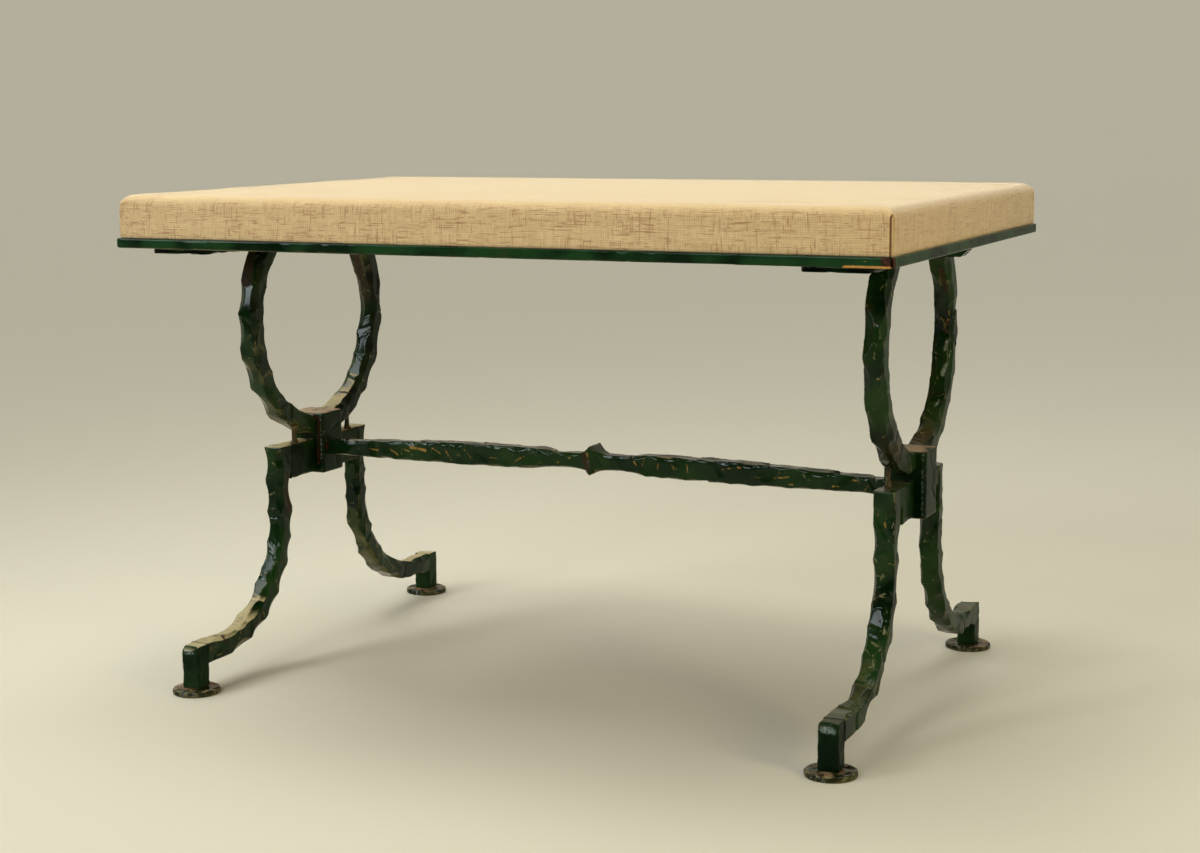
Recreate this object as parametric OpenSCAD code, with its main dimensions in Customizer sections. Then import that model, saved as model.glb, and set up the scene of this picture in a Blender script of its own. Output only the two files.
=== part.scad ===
// Wrought iron bench with a linen seat pad. Origin on the floor under the middle of the seat.
// X runs along the bench, the front faces -Y, and Z is up. All sizes are in millimetres.

/* [Seat frame] */
// Length of the flat iron frame under the pad
frame_length = 752; // [640:1:1000]
// Depth of the frame, front to back
frame_depth = 508; // [460:1:620]
// Thickness of the frame's flat bar
frame_thickness = 9; // [6:0.5:14]
// Width of the frame's flat bar
frame_bar_width = 38; // [30:1:48]
// Radius of the frame's worn outer corners, seen from above
frame_corner = 5; // [2:0.5:12]

/* [Mounting straps] */
// Width of each strap that carries the frame
strap_width = 63; // [44:1:76]
// Thickness of the straps
strap_thickness = 6; // [4:0.5:10]
// Step from the frame's edge in to the end of a strap
strap_setback = 21; // [10:1:28]
// Radius of a strap's corners
strap_corner = 10; // [3:1:18]
// How far each seat screw stands from the middle of the bench, front to back
screw_spread = 150; // [120:1:180]
// Diameter of a seat screw's shank
screw_shank = 4.5; // [3.5:0.1:6]
// Diameter of a seat screw's head
screw_head = 9; // [7.5:0.1:12]
// Height of a seat screw's head
screw_head_height = 3; // [2:0.1:4]
// How far a seat screw reaches into the board
screw_bite = 8; // [5:0.5:9]

/* [Seat pad] */
// Step from the frame's edge in to the foot of the pad
pad_inset = 4; // [1:0.5:10]
// Height of the pad's upper edge above the frame
pad_height = 40; // [34:1:80]
// Extra height at the middle of the pad
pad_crown = 5; // [1:0.5:15]
// Radius of the pad's upper edges
pad_edge = 13; // [8:1:18]
// Radius of the pad's upright corners
pad_corner = 10; // [5:1:25]
// How far the pad's sides draw in above the board
pad_waist = 1.2; // [0:0.1:3]
// Thickness of the linen cover
cover_thickness = 1.2; // [0.8:0.1:2]
// How far the cover's hem reaches in past the frame's bars, under the board
hem_reach = 18; // [10:1:40]
// Thickness of the plywood board
board_thickness = 12; // [10:0.5:16]
// Length of a staple that holds the hem
staple_length = 11; // [8:1:14]
// Width of a staple's wire
staple_wire = 1.3; // [0.8:0.1:2]
// Distance from one staple to the next
staple_pitch = 45; // [30:1:80]

/* [Iron work] */
// Side of the square hammered bar
bar = 19; // [16:0.5:24]
// Step from the frame's end in to the middle of each end frame
end_setback = 55; // [40:1:90]
// Middle radius of the ring
ring_radius = 115; // [105:1:125]
// Height of the straps' underside above the ring's centre
ring_rise = 77.5; // [60:0.5:95]
// Gap between the lowest point of the ring and the lugs
ring_gap = 4; // [2:0.5:10]
// How far the hub stands above the inside of the ring
hub_rise = 4; // [3:0.5:12]
// How far the hub reaches down below the lugs
hub_drop = 1; // [0:0.5:15]
// Width of the hub block along the bench
hub_width = 40; // [34:1:50]
// Depth of the hub block, front to back
hub_depth = 38; // [30:1:46]
// Height of the top of the legs and lugs above the floor
leg_top = 218; // [205:0.5:260]
// Height of the lug bars between the legs and the hub
lug_height = 35; // [24:1:38]
// Distance of each upright leg stretch from the middle, front to back
leg_spread = 75; // [60:1:85]
// Middle radius of the leg's curve
leg_curve = 112.5; // [95:0.5:120]
// Distance of each foot from the middle, front to back
foot_spread = 228.5; // [215:0.5:240]
// Diameter of the round foot plates
foot_diameter = 46; // [36:1:60]
// Thickness of the foot plates
foot_thickness = 5.5; // [4:0.5:8]
// Height of the middle of the leg's level end above the floor
leg_toe_height = 37.5; // [34:0.5:45]

/* [Stretcher] */
// How far the stretcher's ends lie below the middle of the hub
stretcher_drop = 6; // [0:0.5:12]
// How far the stretcher bows up at its middle
stretcher_bow = 4; // [0:0.5:8]
// Height and width of the stretcher's ends and necks
stretcher_end = 15; // [12:0.5:18]
// Height and width of the stretcher's thick stretches
stretcher_swell = 22; // [16:0.5:26]
// Height and width of the forged knot at the stretcher's middle
knot_size = 33; // [26:1:40]
// Length of the knot along the stretcher
knot_length = 24; // [18:1:36]

/* [Small pieces] */
// Length of a tack that joins the ring to the lug
tack_size = 7; // [5:0.5:10]
// Distance of the tacks from the middle, front to back
tack_spread = 52; // [44:1:56]
// Height of the gussets behind the rear ring ends
gusset_height = 8; // [5:0.5:12]

/* [Hidden] */
$fn = 64;
// Clearance of a screw's shank in its strap and hem, and in its pilot hole
strap_clearance = 0.5;
pilot_clearance = 0.1;
// Gap between the cover, the foam and the board's edge
pad_gap = 0.2;
// Depth of the hammer marks, as a share of the bar's half width
dent = 0.09;
// Length of bar between two rows of hammer marks
dent_step = 11;
// Share of the bar's half width that its edges are worn back by
edge_wear = 0.24;
// Reach past a face, for cuts
over = 1;

// Gap between a tack and the underside of the ring
tack_gap = 0.1;
// Step across the hub's upright edges
hub_bevel = 2;
// Height of a staple's crown under the hem
staple_height = 0.8;

half_bar = bar / 2;
end_offset = frame_length / 2 - end_setback;
ring_outer = ring_radius + half_bar;
ring_height = leg_top + ring_gap + ring_outer;
strap_bottom = ring_height + ring_rise;
frame_bottom = strap_bottom + strap_thickness;
frame_top = frame_bottom + frame_thickness;
strap_length = frame_depth - 2 * strap_setback;
hub_top = ring_height - ring_radius + half_bar + hub_rise;
hub_bottom = leg_top - lug_height - hub_drop;
hub_face = hub_depth / 2;
lug_reach = leg_spread - half_bar;
board_bottom = frame_top + cover_thickness;
board_top = board_bottom + board_thickness;
pad_top = frame_top + pad_height;
pad_half_length = frame_length / 2 - pad_inset;
pad_half_depth = frame_depth / 2 - pad_inset;
// The screws stand half way between the strap's inner edge and the frame's side bar
screw_offset = (end_offset - strap_width / 2 + frame_length / 2 - frame_bar_width) / 2;
screw_radius = screw_shank / 2;
// The staples run half way between the frame's bars and the inner edge of the hem
hem_inset = frame_bar_width + hem_reach;
staple_inset = frame_bar_width + hem_reach / 2;
foot_radius = foot_diameter / 2;
post_top = leg_toe_height + half_bar;

iron = [0.07, 0.17, 0.11];
worn_iron = [0.42, 0.33, 0.22];
bright_iron = [0.55, 0.52, 0.46];
linen = [0.85, 0.77, 0.6];
foam = [0.93, 0.88, 0.66];
plywood = [0.72, 0.55, 0.36];

// Swept bar with hammered faces.
// A station is [centre, half width vector, half height vector, share of the full hammer marks].
corner = 1 - edge_wear;
SECTION = [
    [1, -corner], [1, corner], [corner, 1], [-corner, 1],
    [-1, corner], [-1, -corner], [-corner, -1], [corner, -1]];
SIDES = len(SECTION);

function station_points(station, marks) = [
    for (k = [0 : SIDES - 1])
        let (swell = 1 + dent * station[3] * marks[k])
        station[0] + swell * (SECTION[k][0] * station[1] + SECTION[k][1] * station[2])];

module hammered_bar(stations, seed) {
    count = len(stations);
    marks = rands(-1, 1, count * SIDES, seed);
    points = [
        for (i = [0 : count - 1])
            each station_points(stations[i], [for (k = [0 : SIDES - 1]) marks[i * SIDES + k]])];
    skin = [
        for (i = [0 : count - 2], k = [0 : SIDES - 1])
            let (a = i * SIDES + k, b = i * SIDES + (k + 1) % SIDES)
            each [[a, a + SIDES, b + SIDES], [a, b + SIDES, b]]];
    first_cap = [for (k = [0 : SIDES - 1]) k];
    last_cap = [for (k = [SIDES - 1 : -1 : 0]) (count - 1) * SIDES + k];
    polyhedron(points, concat(skin, [first_cap, last_cap]), convexity = 6);
}

// One arm of the ring, from the hub's front face round to the strap
ring_hub_angle = asin(hub_face / ring_radius);
ring_top_angle = 180 - acos(ring_rise / ring_radius);
// The last full section stays clear of the level cut under the strap
ring_last_angle = 180 - acos(ring_rise / ring_outer) - 3;
ring_steps = ceil((ring_last_angle - ring_hub_angle) * PI / 180 * ring_radius / dent_step);
ring_step_angle = (ring_last_angle - ring_hub_angle) / ring_steps;
// The arm stays plain over its tack and beside its gusset
ring_plain_from = asin((tack_spread + tack_size / 2) / ring_outer) + ring_step_angle;
ring_plain_to = ring_last_angle - 1.5 * ring_step_angle;

function ring_centre(a) = [0, -ring_radius * sin(a), ring_height - ring_radius * cos(a)];
function ring_station(a, marks) = [
    ring_centre(a), half_bar * [1, 0, 0], half_bar * [0, -sin(a), -cos(a)], marks];

module ring_arm(seed) {
    first = [
        ring_centre(ring_hub_angle), half_bar * [1, 0, 0],
        half_bar / cos(ring_hub_angle) * [0, 0, -1], 0];
    middle = [
        for (i = [1 : ring_steps])
            let (a = ring_hub_angle + ring_step_angle * i)
            ring_station(a, a < ring_plain_from || a > ring_plain_to ? 0 : 1)];
    last = [
        ring_centre(ring_top_angle), half_bar * [1, 0, 0],
        half_bar / sin(ring_top_angle) * [0, -1, 0], 0];
    hammered_bar(concat([first], middle, [last]), seed);
}

// One leg, from its square top down and out to the foot post
leg_bend_height = leg_toe_height + leg_curve;
leg_bend_reach = leg_spread + leg_curve;
leg_plain = leg_top - lug_height - half_bar / 2;
leg_end = foot_spread - half_bar;
leg_arc_steps = ceil(90 * PI / 180 * leg_curve / dent_step);
leg_upright_steps = ceil((leg_plain - leg_bend_height) / dent_step);
leg_level_steps = ceil((leg_end - leg_bend_reach) / dent_step);

function leg_upright_station(z, marks) = [
    [0, -leg_spread, z], half_bar * [1, 0, 0], half_bar * [0, 1, 0], marks];
function leg_arc_station(a) = [
    [0, -leg_bend_reach + leg_curve * cos(a), leg_bend_height - leg_curve * sin(a)],
    half_bar * [1, 0, 0], half_bar * [0, cos(a), -sin(a)], 1];
function leg_level_station(y, marks) = [
    [0, -y, leg_toe_height], half_bar * [1, 0, 0], half_bar * [0, 0, -1], marks];

module leg_bar(seed) {
    upright = [
        for (i = [0 : leg_upright_steps])
            let (z = leg_plain + (leg_bend_height - leg_plain) * i / leg_upright_steps)
            leg_upright_station(z, i == 0 ? 0 : 1)];
    curve = [for (i = [1 : leg_arc_steps]) leg_arc_station(90 * i / leg_arc_steps)];
    level = [
        for (i = [1 : leg_level_steps])
            let (y = leg_bend_reach + (leg_end - leg_bend_reach) * i / leg_level_steps)
            leg_level_station(y, i == leg_level_steps ? 0 : 1)];
    hammered_bar(concat([leg_upright_station(leg_top, 0)], upright, curve, level), seed);
}

// The stretcher's profile, as half its thickness at a distance from the middle of the bench
neck_length = 24;
swell_rise = 22;
stretcher_height = (hub_top + hub_bottom) / 2 - stretcher_drop;
stretcher_half_length = end_offset - hub_width / 2;
neck_end = knot_length / 2 + neck_length;
swell_start = neck_end + swell_rise;
swell_end = stretcher_half_length / 2;
function stretcher_half(x) = lookup(abs(x), [
    [0, knot_size / 2],
    [knot_length / 4, (knot_size + stretcher_end) / 4],
    [knot_length / 2, stretcher_end / 2],
    [neck_end, stretcher_end / 2],
    [swell_start, stretcher_swell / 2],
    [swell_end, stretcher_swell / 2],
    [stretcher_half_length, stretcher_end / 2]]);
function stretcher_middle(x) =
    stretcher_height + stretcher_bow * (1 - pow(x / stretcher_half_length, 2));
function stretcher_station(x, marks) = [
    [x, 0, stretcher_middle(x)], stretcher_half(x) * [0, 1, 0], stretcher_half(x) * [0, 0, 1], marks];
stretcher_steps = ceil((stretcher_half_length - neck_end) / dent_step);

module stretcher_bar(seed) {
    outer = [
        for (i = [0 : stretcher_steps - 1])
            stretcher_half_length + (neck_end - stretcher_half_length) * i / stretcher_steps];
    inner = [neck_end, neck_end - neck_length / 2, knot_length / 2, knot_length / 4];
    right = concat(outer, inner);
    last = len(right) - 1;
    reaches = concat([for (x = right) -x], [0], [for (i = [last : -1 : 0]) right[i]]);
    hammered_bar(
        [for (x = reaches) stretcher_station(x, abs(x) == stretcher_half_length ? 0 : 1)], seed);
}

// Upholstered form: level rings of points, each a rounded rectangle, up to the crowned middle.
// shrink is the step in from the outside of the cover, and foot the height it starts at.
CORNER_STEPS = 5;
EDGE_STEPS = 3;
CROWN_STEPS = 3;

function rounded_outline(half_x, half_y, r) = [
    for (q = [0 : 3], i = [0 : CORNER_STEPS])
        let (
            a = 90 * (q + i / CORNER_STEPS),
            sx = (q == 0 || q == 3) ? 1 : -1,
            sy = q < 2 ? 1 : -1)
        [sx * (half_x - r) + r * cos(a), sy * (half_y - r) + r * sin(a)]];

// Each row is [step in from the side, height]
function pad_rows(shrink, foot) =
    let (edge = pad_edge - shrink, top = pad_top - shrink)
    concat(
        [[0, foot]],
        foot < board_top - over ? [[0, board_top]] : [],
        [[pad_waist, (board_top + top - edge) / 2 + over], [0, top - edge]],
        [for (i = [1 : EDGE_STEPS])
            let (a = 90 * i / EDGE_STEPS)
            [edge * (1 - cos(a)), top - edge * (1 - sin(a))]],
        [for (i = [1 : CROWN_STEPS])
            let (s = i / (CROWN_STEPS + 1))
            [edge + s * (pad_half_depth - edge), top + pad_crown * (1 - pow(1 - s, 2))]]);

module pad_form(shrink, foot) {
    rows = pad_rows(shrink, foot);
    ring = 4 * (CORNER_STEPS + 1);
    count = len(rows);
    half_x = pad_half_length - shrink;
    half_y = pad_half_depth - shrink;
    radius = pad_corner - shrink;
    points = concat(
        [for (row = rows)
            let (r = max(radius - row[0] / 2, radius / 3))
            each [for (p = rounded_outline(half_x - row[0], half_y - row[0], r)) [p[0], p[1], row[1]]]],
        [[0, 0, pad_top - shrink + pad_crown]]);
    skin = [
        for (i = [0 : count - 2], k = [0 : ring - 1])
            let (a = i * ring + k, b = i * ring + (k + 1) % ring)
            each [[a, a + ring, b + ring], [a, b + ring, b]]];
    cap = [
        for (k = [0 : ring - 1])
            [(count - 1) * ring + k, count * ring, (count - 1) * ring + (k + 1) % ring]];
    underside = [for (k = [0 : ring - 1]) k];
    polyhedron(points, concat(skin, cap, [underside]), convexity = 4);
}

module slab(half_x, half_y, r, low, high) {
    translate([0, 0, low])
        linear_extrude(high - low)
            union() {
                square([2 * (half_x - r), 2 * half_y], center = true);
                square([2 * half_x, 2 * (half_y - r)], center = true);
                for (sx = [-1, 1], sy = [-1, 1])
                    translate([sx * (half_x - r), sy * (half_y - r)]) circle(r);
            }
}

module seat_cover() {
    color(linen)
        difference() {
            pad_form(0, frame_top);
            pad_form(cover_thickness, board_bottom);
            translate([0, 0, frame_top])
                cube(
                    [frame_length - 2 * hem_inset, frame_depth - 2 * hem_inset, 2 * cover_thickness + over],
                    center = true);
            screw_places()
                translate([0, 0, frame_top - over])
                    cylinder(r = screw_radius + strap_clearance, h = cover_thickness + 2 * over);
        }
}

module seat_foam() {
    color(foam) pad_form(cover_thickness + pad_gap, board_top);
}

module screw_places() {
    for (sx = [-1, 1], sy = [-1, 1])
        translate([sx * screw_offset, sy * screw_spread, 0]) children();
}

module seat_board() {
    shrink = cover_thickness + pad_gap;
    color(plywood)
        difference() {
            slab(pad_half_length - shrink, pad_half_depth - shrink, pad_corner - shrink,
                board_bottom, board_top);
            screw_places()
                translate([0, 0, board_bottom - over])
                    cylinder(r = screw_radius + pilot_clearance, h = screw_bite + 2 * over);
        }
}

module seat_screws() {
    shank_top = board_bottom + screw_bite;
    color(bright_iron)
        screw_places() {
            translate([0, 0, strap_bottom - screw_head_height])
                cylinder(d = screw_head, h = screw_head_height);
            translate([0, 0, strap_bottom - over])
                cylinder(r = screw_radius, h = shank_top - strap_bottom + over);
        }
}

// Staples stand inside the frame's opening, flat against the hem
module staple_row(length) {
    count = floor((length / 2 - staple_pitch / 2) / staple_pitch);
    for (i = [-count : count])
        translate([i * staple_pitch, 0, frame_top - staple_height / 2])
            cube([staple_length, staple_wire, staple_height], center = true);
}

module cover_staples() {
    inner_length = frame_length - 2 * staple_inset;
    inner_depth = frame_depth - 2 * staple_inset;
    color(bright_iron) {
        for (s = [-1, 1])
            translate([0, s * inner_depth / 2, 0]) staple_row(inner_length - 2 * staple_length);
        for (s = [-1, 1])
            translate([s * inner_length / 2, 0, 0])
                rotate([0, 0, 90]) staple_row(inner_depth - 2 * staple_length);
    }
}

// One mitred bar of the frame, along X and with its outer edge on the line y = 0
module frame_bar(length) {
    half = length / 2;
    linear_extrude(frame_thickness)
        polygon([
            [-half, 0], [half, 0],
            [half - frame_bar_width, frame_bar_width], [-half + frame_bar_width, frame_bar_width]]);
}

module frame_side(angle, length, reach) {
    color(iron)
        intersection() {
            rotate([0, 0, angle])
                translate([0, -reach, frame_bottom]) frame_bar(length);
            slab(frame_length / 2, frame_depth / 2, frame_corner, frame_bottom - over, frame_top + over);
        }
}

module strap(side) {
    color(iron)
        difference() {
            translate([side * end_offset, 0, 0])
                slab(strap_width / 2, strap_length / 2, strap_corner, strap_bottom, frame_bottom);
            screw_places()
                translate([0, 0, strap_bottom - over])
                    cylinder(r = screw_radius + strap_clearance, h = strap_thickness + 2 * over);
        }
}

// Moves a piece made for the front of an end frame to one of its four places
module at_end(side, row) {
    translate([side * end_offset, 0, 0])
        mirror([0, row > 0 ? 1 : 0, 0])
            children();
}

module ring(side, row, seed) {
    color(iron) at_end(side, row) ring_arm(seed);
}

module leg(side, row, seed) {
    color(iron) at_end(side, row) leg_bar(seed);
}

module hub(side) {
    half_x = hub_width / 2;
    half_y = hub_depth / 2;
    color(iron)
        translate([side * end_offset, 0, hub_bottom])
            linear_extrude(hub_top - hub_bottom)
                polygon([
                    [half_x - hub_bevel, -half_y], [half_x, -half_y + hub_bevel],
                    [half_x, half_y - hub_bevel], [half_x - hub_bevel, half_y],
                    [-half_x + hub_bevel, half_y], [-half_x, half_y - hub_bevel],
                    [-half_x, -half_y + hub_bevel], [-half_x + hub_bevel, -half_y]]);
}

module lug(side, row) {
    color(iron)
        at_end(side, row)
            translate([-half_bar, -lug_reach, leg_top - lug_height])
                cube([bar, lug_reach - hub_face, lug_height]);
}

module post(side, row) {
    color(iron)
        at_end(side, row)
            translate([-half_bar, -foot_spread - half_bar, foot_thickness])
                cube([bar, bar, post_top - foot_thickness]);
}

module foot(side, row) {
    color(worn_iron)
        at_end(side, row)
            translate([0, -foot_spread, 0])
                cylinder(r = foot_radius, h = foot_thickness);
}

// Small tacks on the inner side of each end frame, from the lug up to the underside of the ring
module ring_tacks() {
    color(iron)
        difference() {
            for (side = [-1, 1], row = [-1, 1])
                at_end(side, row)
                    translate([-side * (half_bar - tack_size / 2), -tack_spread, leg_top + ring_radius / 4])
                        cube([tack_size, tack_size, ring_radius / 2], center = true);
            translate([-frame_length / 2, 0, ring_height])
                rotate([0, 90, 0])
                    cylinder(r = ring_outer + tack_gap, h = frame_length, $fn = 180);
        }
}

// Wedges between the outer side of the rear ring ends and the strap
module rear_gussets() {
    ring_end = sqrt(pow(ring_radius, 2) - pow(ring_rise, 2));
    tip = strap_width / 2;
    color(iron)
        for (side = [-1, 1])
            translate([side * end_offset, ring_end + half_bar, 0])
                rotate([90, 0, 0])
                    linear_extrude(bar)
                        polygon([
                            [side * half_bar, strap_bottom],
                            [side * half_bar, strap_bottom - gusset_height],
                            [side * (tip - gusset_height), strap_bottom - gusset_height],
                            [side * tip, strap_bottom]]);
}

seat_cover();
seat_foam();
seat_board();
cover_staples();
seat_screws();
frame_side(0, frame_length, frame_depth / 2);  // frame_front
frame_side(180, frame_length, frame_depth / 2);  // frame_back
frame_side(-90, frame_depth, frame_length / 2);  // frame_left
frame_side(90, frame_depth, frame_length / 2);  // frame_right
strap(-1);  // strap_left
strap(1);  // strap_right
ring(-1, -1, 11);  // ring_left_front
ring(-1, 1, 12);  // ring_left_back
ring(1, -1, 13);  // ring_right_front
ring(1, 1, 14);  // ring_right_back
hub(-1);  // hub_left
hub(1);  // hub_right
lug(-1, -1);  // lug_left_front
lug(-1, 1);  // lug_left_back
lug(1, -1);  // lug_right_front
lug(1, 1);  // lug_right_back
leg(-1, -1, 21);  // leg_left_front
leg(-1, 1, 22);  // leg_left_back
leg(1, -1, 23);  // leg_right_front
leg(1, 1, 24);  // leg_right_back
post(-1, -1);  // post_left_front
post(-1, 1);  // post_left_back
post(1, -1);  // post_right_front
post(1, 1);  // post_right_back
foot(-1, -1);  // foot_left_front
foot(-1, 1);  // foot_left_back
foot(1, -1);  // foot_right_front
foot(1, 1);  // foot_right_back
stretcher_bar(31);  // stretcher
ring_tacks();
rear_gussets();
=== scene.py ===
"""Looks of a wrought iron bench with a linen seat pad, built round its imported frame."""

from math import acos, asin, cos, pi, radians, sin, sqrt

import bpy
import numpy as np
from mathutils import Matrix, Vector


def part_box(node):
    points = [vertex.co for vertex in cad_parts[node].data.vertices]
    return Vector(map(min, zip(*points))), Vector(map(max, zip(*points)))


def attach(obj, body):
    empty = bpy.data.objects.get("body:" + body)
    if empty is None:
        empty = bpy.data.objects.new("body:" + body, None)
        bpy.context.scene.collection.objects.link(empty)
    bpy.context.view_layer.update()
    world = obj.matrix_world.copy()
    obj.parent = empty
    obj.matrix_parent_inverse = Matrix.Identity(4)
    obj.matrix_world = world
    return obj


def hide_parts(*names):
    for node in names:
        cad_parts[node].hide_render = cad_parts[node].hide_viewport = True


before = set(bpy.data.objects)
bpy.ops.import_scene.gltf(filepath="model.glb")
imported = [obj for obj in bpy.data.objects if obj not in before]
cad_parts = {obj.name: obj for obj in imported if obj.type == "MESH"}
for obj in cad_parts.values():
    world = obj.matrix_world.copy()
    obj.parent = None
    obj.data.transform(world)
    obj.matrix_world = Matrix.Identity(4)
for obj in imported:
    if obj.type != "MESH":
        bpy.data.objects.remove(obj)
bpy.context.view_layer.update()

MM = 0.001
ROOT = "root"
SIDES = {"left": -1, "right": 1}
ROWS = {"front": -1, "back": 1}

# Sizes taken from the frame
hub_low, hub_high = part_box("hub_right")
lug_low, lug_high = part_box("lug_right_front")
post_low, post_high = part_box("post_right_front")
foot_low, foot_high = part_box("foot_right_front")
strap_low, strap_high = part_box("strap_right")
pad_low, pad_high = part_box("seat_cover")
board_low, board_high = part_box("seat_board")

END_X = (hub_low.x + hub_high.x) / 2
HALF_BAR = (lug_high.x - lug_low.x) / 2
HUB_HALF_X = (hub_high.x - hub_low.x) / 2
HUB_HALF_Y = hub_high.y
LEG_TOP = lug_high.z
FOOT_Y = -(post_low.y + post_high.y) / 2
FOOT_RADIUS = (foot_high.x - foot_low.x) / 2
RIM_HALVES = np.array([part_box("frame_right")[1].x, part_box("frame_back")[1].y])
BOARD_HALVES = np.array([board_high.x, board_high.y])

# Sizes of the curved bars, which no box shows exactly
RING_RADIUS = 115 * MM
RING_DROP = 77.5 * MM
RING_HEIGHT = strap_low.z - RING_DROP
LEG_SPREAD = 75 * MM
LEG_CURVE = 112.5 * MM
TOE_HEIGHT = post_high.z - HALF_BAR

# How bars are beaten, in millimetres: the pitch of the scoops along a bar, then for flats and for edges the
# least and most half length and the least and most depth of a scoop
BAR_BLOWS = 23, (11, 19, 0.15, 0.55), (11, 19, 1.8, 4.4)
BLOCK_BLOWS = 12, (8, 14, 0.15, 0.4), (3, 8, 0.4, 1.1)
STRETCHER_BLOWS = 19, (8, 15, 0.3, 0.8), (9, 15, 0.8, 2.0)
RIM_BLOWS = 60, (25, 60, 0.05, 0.2), (20, 70, 0.03, 0.12)
STRAP_BLOWS = 24, (12, 25, 0.1, 0.4), (6, 16, 0.2, 0.7)
TACK_BLOWS = 7, (3, 5, 0.2, 0.8), (3, 6, 0.4, 1.4)
GUSSET_BLOWS = 9, (5, 8, 0.2, 0.6), (3, 6, 0.3, 0.9)


# Mesh tools


def linked(name, data):
    """A new object in the scene that shows a mesh, a lamp or a camera."""
    thing = bpy.data.objects.new(name, data)
    bpy.context.scene.collection.objects.link(thing)
    return thing


def new_object(name, points, faces, finish):
    mesh = bpy.data.meshes.new(name)
    mesh.from_pydata([tuple(p) for p in points], [], faces)
    mesh.update()
    mesh.polygons.foreach_set("use_smooth", [True] * len(mesh.polygons))
    mesh.materials.append(finish)
    return linked(name, mesh)


def stands_for(thing, replaced):
    """Attaches a piece to the root body and hides the CAD nodes that it replaces."""
    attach(thing, ROOT)
    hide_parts(*replaced)


def band(low, high):
    """The four-sided faces between two loops of points, each a list of indices."""
    return list(zip(low, low[1:] + low[:1], high[1:] + high[:1], high))


def eased(plan, half, radius, fill=True):
    """Points of a rectangle, pulled onto its rounded corners. Without fill, only points past them move."""
    core = np.clip(plan, radius - half, half - radius)
    out = plan - core
    reach = np.linalg.norm(out, axis=1)
    both = (np.abs(out) > 1e-9).all(1) & (fill | (reach > np.ravel(radius)))
    pull = np.ravel(radius) / np.maximum(reach, 1e-9)
    return np.where(both[:, None], core + out * pull[:, None], plan)


def outline(a_steps, b_steps, corner_steps):
    """A rounded rectangle, once round: in each row a flat share and a corner direction, along a and b."""
    rows = []
    for quarter in range(4):
        turn = quarter * pi / 2
        c, s = round(cos(turn)), round(sin(turn))
        steps = (b_steps, a_steps)[quarter % 2]
        rows += [(c - s * t, s + c * t, c, s) for t in np.linspace(-1, 1, steps, endpoint=False)]
        angles = turn + np.linspace(0, pi / 2, corner_steps, endpoint=False)
        rows += [(c - s, s + c, cos(angle), sin(angle)) for angle in angles]
    return np.array(rows)


class Sweep:
    """A bar of rounded rectangular section swept along stations, closed by a cap at each end."""

    def __init__(self, radius, a_steps, b_steps, corner_steps=3):
        self.radius = radius
        self.outline = outline(a_steps, b_steps, corner_steps)
        self.stations = []
        # A function that moves the finished sweep's points
        self.bend = None

    def add(self, centre, side, up, half_a, half_b, radius=None):
        station = (np.array(centre), np.array(side), np.array(up), half_a, half_b)
        self.stations.append((*station, self.radius if radius is None else radius))

    def grid(self):
        """Points and outward normals, one row a station."""
        ta, tb, ca, cb = self.outline.T[:, :, None]
        points, normals = [], []
        for centre, side, up, half_a, half_b, radius in self.stations:
            r = min(radius, half_a, half_b)
            a = ta * (half_a - r) + ca * r
            b = tb * (half_b - r) + cb * r
            points.append(centre + a * side + b * up)
            normals.append(ca * side + cb * up)
        points = np.array(points)
        if self.bend:
            points = self.bend(points.reshape(-1, 3)).reshape(points.shape)
        return points, np.array(normals)

    def surface(self, cap_rings):
        """Points, normals, faces, and which points lie on a long edge of the bar."""
        points, normals = self.grid()
        count, around = points.shape[:2]
        total = count * around
        loops = [list(range(start, start + around)) for start in range(0, total, around)]
        faces = [face for pair in zip(loops, loops[1:]) for face in band(*pair)]
        all_points, all_normals = [points.reshape(-1, 3)], [normals.reshape(-1, 3)]
        for end in (0, count - 1):
            side, up = self.stations[end][1:3]
            centre = points[end].mean(0)
            ring = loops[end]
            for step in range(1, cap_rings + 1):
                inner = list(range(total, total + around))
                faces += band(ring, inner) if end else band(inner, ring)
                all_points.append(centre + (1 - step / (cap_rings + 1)) * (points[end] - centre))
                ring = inner
                total += around
            for a, b in zip(ring, ring[1:] + ring[:1]):
                faces.append((a, b, total) if end else (b, a, total))
            all_points.append(centre[None])
            total += 1
            tangent = np.cross(side, up) * (1 if end else -1)
            all_normals.append(np.tile(tangent, (cap_rings * around + 1, 1)))
        on_edge = np.abs(self.outline[:, 2] * self.outline[:, 3]) > 0.02
        edge = np.append(np.tile(on_edge, count), np.zeros(total - count * around))
        return np.vstack(all_points), np.vstack(all_normals), faces, edge


RIDGE_WIDTH = 0.35 * MM


def press(points, hits):
    """Cuts hammer scoops out. Returns the points, how deep each lies, and how near a scoop's edge it is."""
    first = np.zeros(len(points))
    second = np.zeros(len(points))
    made = points.copy()
    for centre, normal, half_length, depth in hits:
        radius = (half_length**2 + depth**2) / (2 * depth)
        ball = centre + normal * (radius - depth)
        for surface in (points, made):
            offset = surface - ball
            height = offset @ normal
            level = radius**2 - (offset**2).sum(1) + height**2
            cut = np.where(level > 0, height + np.sqrt(np.maximum(level, 0)), 0)
            cut = np.where((cut > 0) & (height > -radius * 2) & (np.abs(height + radius) < 3 * depth), cut, 0)
            if surface is points:
                second = np.maximum(second, np.minimum(cut, first))
                first = np.maximum(first, cut)
        made = made - normal * cut[:, None]
    ridge = np.where(first > 0, np.clip(1 - (first - second) / RIDGE_WIDTH, 0, 1), 0)
    return made, first, ridge


def tilted(rng, normal, most):
    """A direction near normal."""
    turned = normal + rng.uniform(-most, most, 3)
    return turned / np.linalg.norm(turned)


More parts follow.
